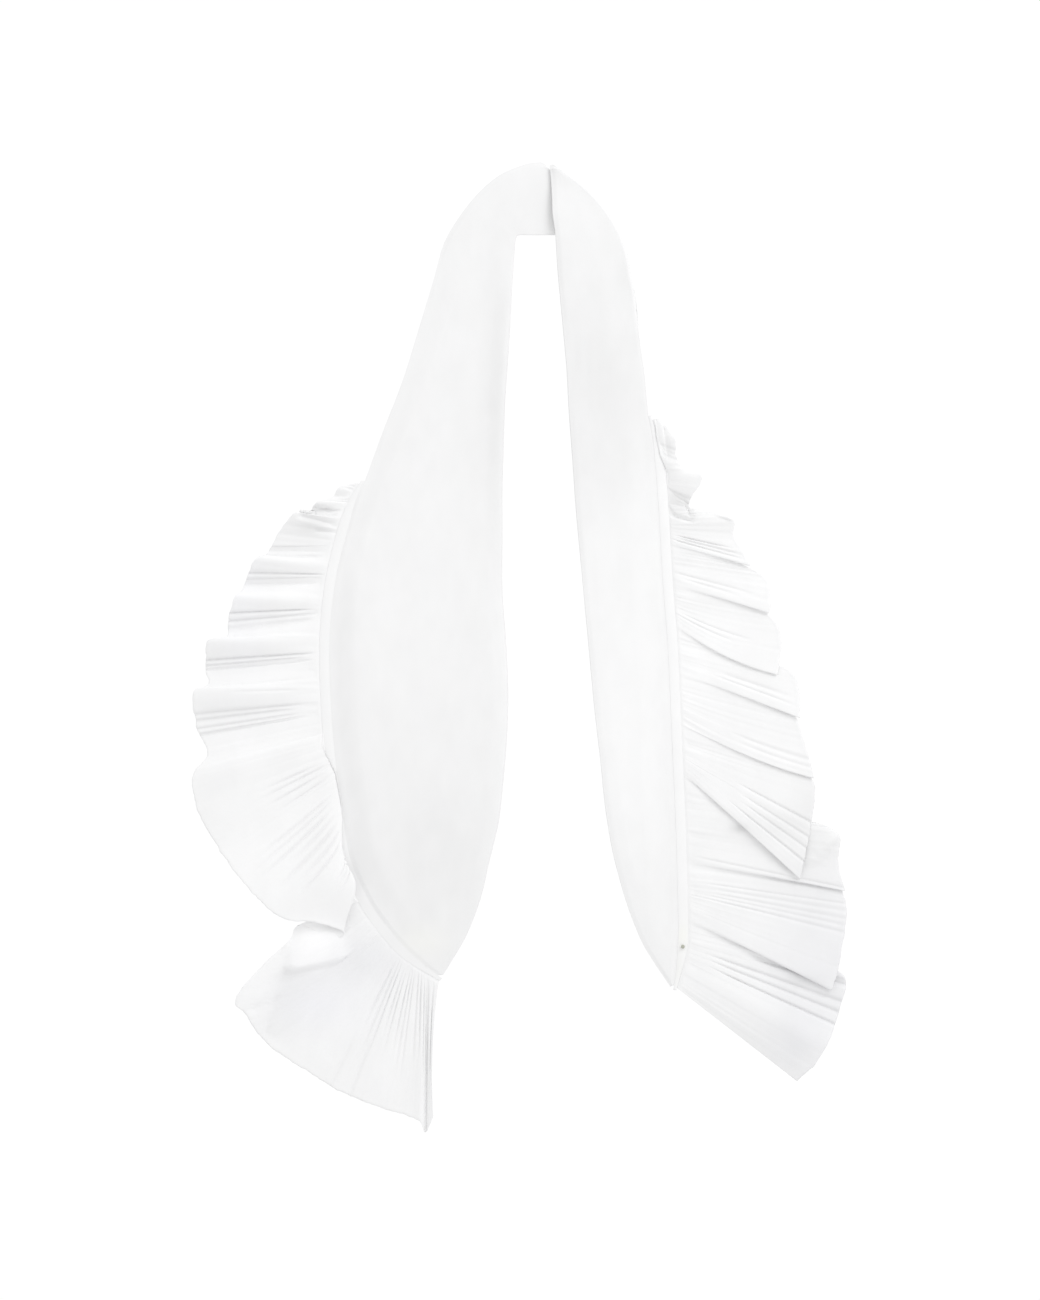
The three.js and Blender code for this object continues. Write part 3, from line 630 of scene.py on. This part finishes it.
def make_ruffle(name, sizes, seam, table, creases, pleats, cover, shade_table, seed):
    """A gathered strip, with its folds from the table and fine gathers at the seam."""
    places = ruffle_places(table, creases)
    rows = rows_at(table, places)
    along, hem = rows[:, 0] * MM, rows[:, 1:3] * MM
    rise, bow, roll = np.maximum(rows[:, 3], 0) * MM, rows[:, 4] * MM, np.maximum(rows[:, 5], 0)
    place, inward, half = seam.at(along)
    cover = np.array(cover, float)
    width, lift = (np.interp(along / MM, cover[:, 0], cover[:, column])[:, None] for column in (1, 2))
    tuck = RUFFLE_TUCK * smooth(half, 1.5 * MM, 4 * MM)
    start = place - inward * (half - tuck + lift[:, 0] * (tuck + LAP_GAP))[:, None]

    # The hem is a little uneven
    hem_run = np.concatenate([[0], np.cumsum(np.linalg.norm(np.diff(hem, axis=0), axis=1))])
    jolt = noise_line(hem_run / (7 * MM) + 300, seed + 4)
    jolt = jolt + 0.6 * noise_line(hem_run / (3 * MM) + 300, seed + 5)
    out = (hem - start) / np.linalg.norm(hem - start, axis=1)[:, None]
    hem = hem + out * (0.55 * MM * jolt)[:, None]

    # Seen from above, the folds run from the seam to the hem, and some cloth laps over the seam
    share = RUFFLE_SHARES
    grid = np.zeros((len(places), len(share), 3))
    straight = bowed(start, hem, bow, share)
    lag = share[None, :] ** (1 + roll[:, None] / 16) - share[None, :]
    grid[..., :2] = straight + (hem - start)[:, None] * lag[..., None]
    folded = smooth(share[None, :], 0.0165, 0.036) * (1 - share[None, :])
    rolled = (roll[:, None] * MM) * np.sin(np.pi * share[None, :] ** 0.75) ** 2
    grid[..., :2] += inward[:, None] * (rolled + width * MM * folded)[..., None]

    # Each fold climbs from the strip to its height at the hem
    cloth_depth = np.linalg.norm(hem - start, axis=1)[:, None]
    reach = cloth_depth * share[None, :]
    free = np.clip((reach - 1.6 * MM) / np.maximum(cloth_depth - 1.6 * MM, 1 * MM), 0, 1)
    climbed = 1 - (1 - free) ** (2.2 + roll[:, None] / 8)
    clear = reach * np.clip(-(out * inward).sum(1), 0.3, 1)[:, None]
    beside = 0.2 + 0.5 * smooth(clear, 1.3 * MM, 3.2 * MM) * (1 - lift)
    at_strip = beside * MM * np.exp(-share[None, :] / 0.15)
    steps = 1.55 * smooth(share[None, :], 0, 0.016) + 0.9 * smooth(share[None, :], 0.036, 0.085)
    at_strip = at_strip + lift * MM * steps * np.exp(-share[None, :] / 0.5)
    droop = 1 - 0.55 * np.minimum(roll, 16)[:, None] / 16 * smooth(share[None, :], 0.5, 1)
    grid[..., 2] = sizes.ruffle_ply / 2 + at_strip + rise[:, None] * climbed * droop

    # Gathers fade away from the seam, and a faint crinkle lies over the whole cloth
    drift = share[None, :] * 1.3
    fine = noise_line(along[:, None] / sizes.gather_pitch + drift + 300, seed)
    wide = noise_line(along[:, None] / (2.3 * sizes.gather_pitch) + 0.8 * drift + 300, seed + 1)
    fade = np.exp(-reach / (16 * MM)) * smooth(clear, 1.2 * MM, 8 * MM)
    long_fade = 0.5 * np.exp(-share[None, :] / 0.55) * smooth(reach, 4 * MM, 16 * MM)
    patches = noise_field(hem_run[:, None] / (45 * MM) + 60, 2.5 * share[None, :] + 60, seed + 3)
    patches = 0.5 + 0.5 * patches
    gathers = fine * fade + wide * (0.5 * fade + long_fade * (0.4 + 0.8 * patches))
    gathers = sizes.gather_depth * gathers
    crinkle = noise_line(hem_run[:, None] / (3.4 * MM) + drift + 300, seed + 2)
    crinkle = 0.3 * MM * patches * smooth(clear, 1.2 * MM, 6 * MM) * crinkle
    depth = crease_depth(creases, places, share, hem_run, seed)
    pleat = pleat_height(pleats, grid, places)

    # Painted shade darkens the creases, grooves and low folds, and painted light brightens the raised
    # pleats and high folds
    tone, cool = shades(grid, shade_table, seed + 6)
    window = np.exp(-(((hem_run[:, None] - hem_run[None, ::8]) / (32 * MM)) ** 2))
    window /= window.sum(1, keepdims=True)
    ridge = (rise - window @ rise[::8])[:, None] / MM
    tone += 1.2 * pleat / MM - 2.8 * depth / MM + 0.5 * ridge * smooth(share[None, :], 0.1, 0.5)

    normal = grid_normals(grid)
    normal *= np.where(normal[..., 2:] < 0, -1, 1)
    grid = grid + normal * (gathers + crinkle - depth + pleat)[..., None]
    grid[..., 2] = np.maximum(grid[..., 2], sizes.ruffle_ply / 2 + 0.02 * MM)
    normal = grid_normals(grid)
    length = spread_of(grid)[..., 1]
    hem_part = 1 - smooth(length[:, -1:] - length, sizes.hem_width * 0.75, sizes.hem_width * 1.1)
    ply = sizes.ruffle_ply + (sizes.hem_ply - sizes.ruffle_ply) * hem_part
    ply[:, -1] = 0.35 * sizes.ruffle_ply
    over = grid + normal * ply[..., None] / 2
    under = grid - normal * ply[..., None] / 2
    for side in (over, under):
        side[..., 2] = np.maximum(side[..., 2], 0)
    return shell(name, over, under, spread_of(grid), tone, cool)


def make_binding(name, sizes, seam, shade_table, seed):
    """The smooth strip that covers a seam, a low rounded band. Its edges are thin, because the panel and
    the ruffle go under them."""
    along = np.linspace(0, seam.length, STRIP_ROWS)
    place, inward, half = seam.at(along)
    across = np.sin(np.linspace(-np.pi / 2, np.pi / 2, STRIP_COLUMNS))
    grid = np.zeros((len(along), len(across), 3))
    grid[..., :2] = place[:, None] + inward[:, None] * (half[:, None] * across)[..., None]
    height = np.maximum(1 - across**2, 0)
    uneven = 1 + 0.12 * noise_line(along / (9 * MM) + 300, seed)
    fullness = 1 - smooth(along, seam.flat_from, seam.flat_from + sizes.binding_taper)
    crown = (sizes.binding_height - sizes.binding_edge) * fullness[:, None] * height[None, :]
    grid[..., 2] = sizes.binding_edge + crown * uneven[:, None]
    under = grid.copy()
    under[..., 2] -= 0.1 * MM + 0.7 * crown
    # The strip's colour takes painted shade in the seam's ditch from its spots
    return shell(name, grid, under, spread_of(grid), *shades(grid, shade_table, seed))


def dress(piece, node, material):
    """Put a finished piece in the place of its frame node."""
    piece.data.materials.clear()
    piece.data.materials.append(material)
    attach(piece, BODY)
    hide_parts(node)


def calculated(tree, kind, operation, first, second=None):
    """A new math node on one or two outputs, or on an output and a fixed vector."""
    node = tree.nodes.new(kind)
    node.operation = operation
    tree.links.new(first, node.inputs[0])
    if isinstance(second, tuple):
        node.inputs[1].default_value = second
    elif second is not None:
        tree.links.new(second, node.inputs[1])
    return node


def noise(tree, scale, detail, place):
    """Output of a new noise texture."""
    node = tree.nodes.new("ShaderNodeTexNoise")
    node.inputs["Scale"].default_value = scale
    node.inputs["Detail"].default_value = detail
    tree.links.new(place, node.inputs["Vector"])
    return node.outputs["Fac"]


def weave_group():
    """Plain weave with uneven threads, as a height and a shade. It is shared by all the cloth."""
    name = "plain_weave"
    if name in bpy.data.node_groups:
        return bpy.data.node_groups[name]
    group = bpy.data.node_groups.new(name, "ShaderNodeTree")
    for socket, kind, direction in (
        ("Vector", "NodeSocketVector", "INPUT"), ("Threads", "NodeSocketFloat", "INPUT"),
        ("Slub", "NodeSocketFloat", "INPUT"), ("Height", "NodeSocketFloat", "OUTPUT"),
        ("Shade", "NodeSocketFloat", "OUTPUT"),
    ):
        group.interface.new_socket(name=socket, in_out=direction, socket_type=kind)
    source, target = group.nodes.new("NodeGroupInput"), group.nodes.new("NodeGroupOutput")
    place = source.outputs["Vector"]

    # Waves in both directions cross as threads do
    scaled = calculated(group, "ShaderNodeVectorMath", "SCALE", place)
    group.links.new(source.outputs["Threads"], scaled.inputs["Scale"])
    parts = group.nodes.new("ShaderNodeSeparateXYZ")
    group.links.new(scaled.outputs[0], parts.inputs[0])
    waves = [calculated(group, "ShaderNodeMath", "SINE", parts.outputs[axis]) for axis in ("X", "Y")]
    crossing = calculated(group, "ShaderNodeMath", "MULTIPLY", *(wave.outputs[0] for wave in waves))

    # Slubs are long noise along the threads
    stretched = calculated(group, "ShaderNodeVectorMath", "MULTIPLY", place, (900, 160, 1)).outputs[0]
    slubs = noise(group, 1, 3, stretched)
    slubs = calculated(group, "ShaderNodeMath", "MULTIPLY", slubs, source.outputs["Slub"]).outputs[0]
    height = calculated(group, "ShaderNodeMath", "ADD", crossing.outputs[0], slubs)
    group.links.new(height.outputs[0], target.inputs["Height"])
    group.links.new(noise(group, 22, 4, place), target.inputs["Shade"])
    return group


def darkened(colour, share):
    """A colour at a share of its brightness."""
    return [channel * share for channel in colour[:3]] + [1]


def new_material(name, roughness):
    """A material with its node tree and its Principled shader."""
    material = bpy.data.materials.new(name)
    material.use_nodes = True
    shader = material.node_tree.nodes["Principled BSDF"]
    shader.inputs["Roughness"].default_value = roughness
    return material, material.node_tree, shader


def uneven_colour(tree, colour, share, factor):
    """Output of a mix from the darkened colour to the full one."""
    tone = tree.nodes.new("ShaderNodeMix")
    tone.data_type = "RGBA"
    tone.inputs["A"].default_value = darkened(colour, share)
    tone.inputs["B"].default_value = list(colour)
    tree.links.new(factor, tone.inputs["Factor"])
    return tone.outputs["Result"]


def cotton(name, colour, roughness, slub, bump):
    """White cotton with weave, slubs, an unevenness of tone, and the piece's painted shade and light."""
    material, tree, shader = new_material(name, roughness)
    shader.inputs["Sheen Weight"].default_value = 0.12
    shader.inputs["Sheen Roughness"].default_value = 0.5
    shader.inputs["Specular IOR Level"].default_value = 0.25
    flat = tree.nodes.new("ShaderNodeUVMap")
    flat.uv_map = "cloth"
    weave = tree.nodes.new("ShaderNodeGroup")
    weave.node_tree = weave_group()
    weave.inputs["Threads"].default_value = THREADS
    weave.inputs["Slub"].default_value = slub
    tree.links.new(flat.outputs[0], weave.inputs["Vector"])
    # The piece's attribute multiplies the colour with its painted shade, painted light and tone
    painted_shade_and_tone = tree.nodes.new("ShaderNodeAttribute")
    painted_shade_and_tone.attribute_name = "painted_shade_and_tone"
    painted_shade_mix = tree.nodes.new("ShaderNodeMix")
    painted_shade_mix.data_type = "RGBA"
    painted_shade_mix.blend_type = "MULTIPLY"
    painted_shade_mix.inputs["Factor"].default_value = 1
    tree.links.new(uneven_colour(tree, colour, 0.965, weave.outputs["Shade"]), painted_shade_mix.inputs["A"])
    tree.links.new(painted_shade_and_tone.outputs["Color"], painted_shade_mix.inputs["B"])
    tree.links.new(painted_shade_mix.outputs["Result"], shader.inputs["Base Color"])
    relief = tree.nodes.new("ShaderNodeBump")
    relief.inputs["Strength"].default_value = bump
    relief.inputs["Distance"].default_value = 0.12 * MM
    tree.links.new(weave.outputs["Height"], relief.inputs["Height"])
    tree.links.new(relief.outputs[0], shader.inputs["Normal"])
    return material


def bead_material(colour):
    """Grey bead with darker, uneven grains."""
    material, tree, shader = new_material("bead", 0.35)
    place = tree.nodes.new("ShaderNodeTexCoord")
    grain = tree.nodes.new("ShaderNodeTexNoise")
    grain.inputs["Scale"].default_value = 900
    tree.links.new(place.outputs["Object"], grain.inputs["Vector"])
    tree.links.new(uneven_colour(tree, colour, 0.7, grain.outputs["Fac"]), shader.inputs["Base Color"])
    return material


def seams_of(sizes):
    """The seams of the wide and the narrow end. Only the first one's strip turns flat on its way."""
    left = Seam(LEFT_SEAM, 1, sizes, sizes.flat_from)
    return left, Seam(RIGHT_SEAM, -1, sizes, 2 * left.length)


class TIE_OT_panels(bpy.types.Operator):
    """Make the two plain panels with the neck stretch."""

    bl_idname = "tie.panels"
    bl_label = "Panels and neck"

    def execute(self, context):
        sizes, colours = context.scene.tie_sizes, context.scene.tie_colours
        left_seam, right_seam = seams_of(sizes)
        left = make_left_panel(sizes, left_seam)
        right = make_right_panel(sizes, right_seam)
        cloth = cotton("panel_cotton", colours.panel, roughness=0.88, slub=0.9, bump=0.25)
        dress(left, "left_panel", cloth)
        dress(right, "right_panel", cloth)
        return {"FINISHED"}


class TIE_OT_ruffles(bpy.types.Operator):
    """Make the two gathered ruffles."""

    bl_idname = "tie.ruffles"
    bl_label = "Ruffles"

    def execute(self, context):
        sizes, colours = context.scene.tie_sizes, context.scene.tie_colours
        left_seam, right_seam = seams_of(sizes)
        cloth = cotton("ruffle_cotton", colours.ruffle, roughness=0.85, slub=0.9, bump=0.25)
        left = make_ruffle(
            "left_ruffle_cloth", sizes, left_seam, LEFT_RUFFLE, LEFT_CREASES, LEFT_PLEATS, LEFT_COVER,
            LEFT_RUFFLE_SHADES, 11)
        dress(left, "left_ruffle", cloth)
        right = make_ruffle(
            "right_ruffle_cloth", sizes, right_seam, RIGHT_RUFFLE, RIGHT_CREASES, RIGHT_PLEATS,
            RIGHT_COVER, RIGHT_RUFFLE_SHADES, 23)
        dress(right, "right_ruffle", cloth)
        return {"FINISHED"}


class TIE_OT_bindings(bpy.types.Operator):
    """Make the smooth strips on the seams."""

    bl_idname = "tie.bindings"
    bl_label = "Seam strips"

    def execute(self, context):
        sizes, colours = context.scene.tie_sizes, context.scene.tie_colours
        cloth = cotton("binding_cotton", colours.binding, roughness=0.82, slub=0.5, bump=0.15)
        left_seam, right_seam = seams_of(sizes)
        left = make_binding("left_seam_strip", sizes, left_seam, LEFT_STRIP_SHADES, 31)
        dress(left, "left_seam_binding", cloth)
        right = make_binding("right_seam_strip", sizes, right_seam, RIGHT_STRIP_SHADES, 37)
        dress(right, "right_seam_binding", cloth)
        return {"FINISHED"}


class TIE_OT_stud(bpy.types.Operator):
    """Make the small bead at the lower end of the right seam."""

    bl_idname = "tie.stud"
    bl_label = "Seam end bead"

    def execute(self, context):
        low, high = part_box("seam_end_stud")
        centre = (low + high) / 2
        bpy.ops.object.select_all(action="DESELECT")
        foot = (centre.x, centre.y, low.z)
        bpy.ops.mesh.primitive_uv_sphere_add(
            segments=32, ring_count=16, radius=(high.x - low.x) / 2, location=foot)
        bead = context.active_object
        bead.name = "seam_end_bead"
        bpy.ops.object.mode_set(mode="EDIT")
        bpy.ops.mesh.select_all(action="SELECT")
        bpy.ops.mesh.bisect(plane_co=foot, plane_no=(0, 0, 1), use_fill=True, clear_inner=True)
        bpy.ops.mesh.select_all(action="SELECT")
        bpy.ops.transform.resize(value=(1, 1, 0.8), center_override=foot)
        bpy.ops.mesh.normals_make_consistent(inside=False)
        bpy.ops.object.mode_set(mode="OBJECT")
        bpy.ops.object.transform_apply(location=True, rotation=True, scale=True)
        bpy.ops.object.shade_smooth_by_angle(angle=math.radians(50))
        dress(bead, "seam_end_stud", bead_material(context.scene.tie_colours.stud))
        return {"FINISHED"}


class TIE_OT_stage(bpy.types.Operator):
    """Make the floor, the lights and the camera straight above."""

    bl_idname = "tie.stage"
    bl_label = "Floor, lights and camera"

    def execute(self, context):
        scene = context.scene
        bpy.ops.object.select_all(action="DESELECT")
        bpy.ops.mesh.primitive_plane_add(size=12, location=(0, 0, -0.3 * MM))
        floor = context.active_object
        floor.name = "floor"
        paint, _, shader = new_material("floor_white", 1)
        shader.inputs["Base Color"].default_value = (0.02, 0.02, 0.02, 1)
        shader.inputs["Specular IOR Level"].default_value = 0
        shader.inputs["Emission Color"].default_value = (1, 1, 1, 1)
        shader.inputs["Emission Strength"].default_value = 1
        floor.data.materials.append(paint)

        world = bpy.data.worlds.new("studio")
        world.use_nodes = True
        background = world.node_tree.nodes["Background"]
        background.inputs["Color"].default_value = (1, 1, 1, 1)
        background.inputs["Strength"].default_value = 0.92
        scene.world = world

        lamp = bpy.data.lights.new("key", "AREA")
        lamp.size = 1.5
        lamp.energy = 27
        light = bpy.data.objects.new("key", lamp)
        light.location = (1.5, 2.0, 1.9)
        light.rotation_euler = (-light.location).to_track_quat("-Z", "Y").to_euler()
        scene.collection.objects.link(light)

        camera_data = bpy.data.cameras.new("camera")
        camera_data.sensor_fit = "VERTICAL"
        camera_data.sensor_height = 36
        camera_data.lens = 85
        camera = bpy.data.objects.new("camera", camera_data)
        frame_height = PICTURE_ROWS * MM_PER_PIXEL * MM
        distance = frame_height * camera_data.lens / camera_data.sensor_height
        camera.location = (0, -1.7 * MM, distance)
        scene.collection.objects.link(camera)
        scene.camera = camera
        scene.view_settings.view_transform = "Standard"
        return {"FINISHED"}


class TIE_PT_sidebar(bpy.types.Panel):
    """Lists the sizes, the colours and the steps that make the tie."""

    bl_idname = "TIE_PT_sidebar"
    bl_label = "Ruffled tie"
    bl_space_type = "VIEW_3D"
    bl_region_type = "UI"
    bl_category = "Ruffled tie"

    def draw(self, context):
        for group in (context.scene.tie_sizes, context.scene.tie_colours):
            for name in group.bl_rna.properties.keys():
                if name not in ("rna_type", "name"):
                    self.layout.prop(group, name)
        for operator in OPERATORS:
            self.layout.operator(operator.bl_idname)


OPERATORS = (TIE_OT_stage, TIE_OT_panels, TIE_OT_bindings, TIE_OT_ruffles, TIE_OT_stud)
CLASSES = (TieSizes, TieColours, *OPERATORS, TIE_PT_sidebar)


def register():
    """Register the classes and give each scene its sizes and colours."""
    for entry in CLASSES:
        bpy.utils.register_class(entry)
    bpy.types.Scene.tie_sizes = bpy.props.PointerProperty(type=TieSizes)
    bpy.types.Scene.tie_colours = bpy.props.PointerProperty(type=TieColours)


def unregister():
    """Take back what register adds."""
    del bpy.types.Scene.tie_colours
    del bpy.types.Scene.tie_sizes
    for entry in reversed(CLASSES):
        bpy.utils.unregister_class(entry)


def main():
    """Make the stage and the tie in order."""
    register()
    bpy.ops.tie.stage()
    bpy.ops.tie.panels()
    bpy.ops.tie.bindings()
    bpy.ops.tie.ruffles()
    bpy.ops.tie.stud()


if __name__ == "__main__":
    main()
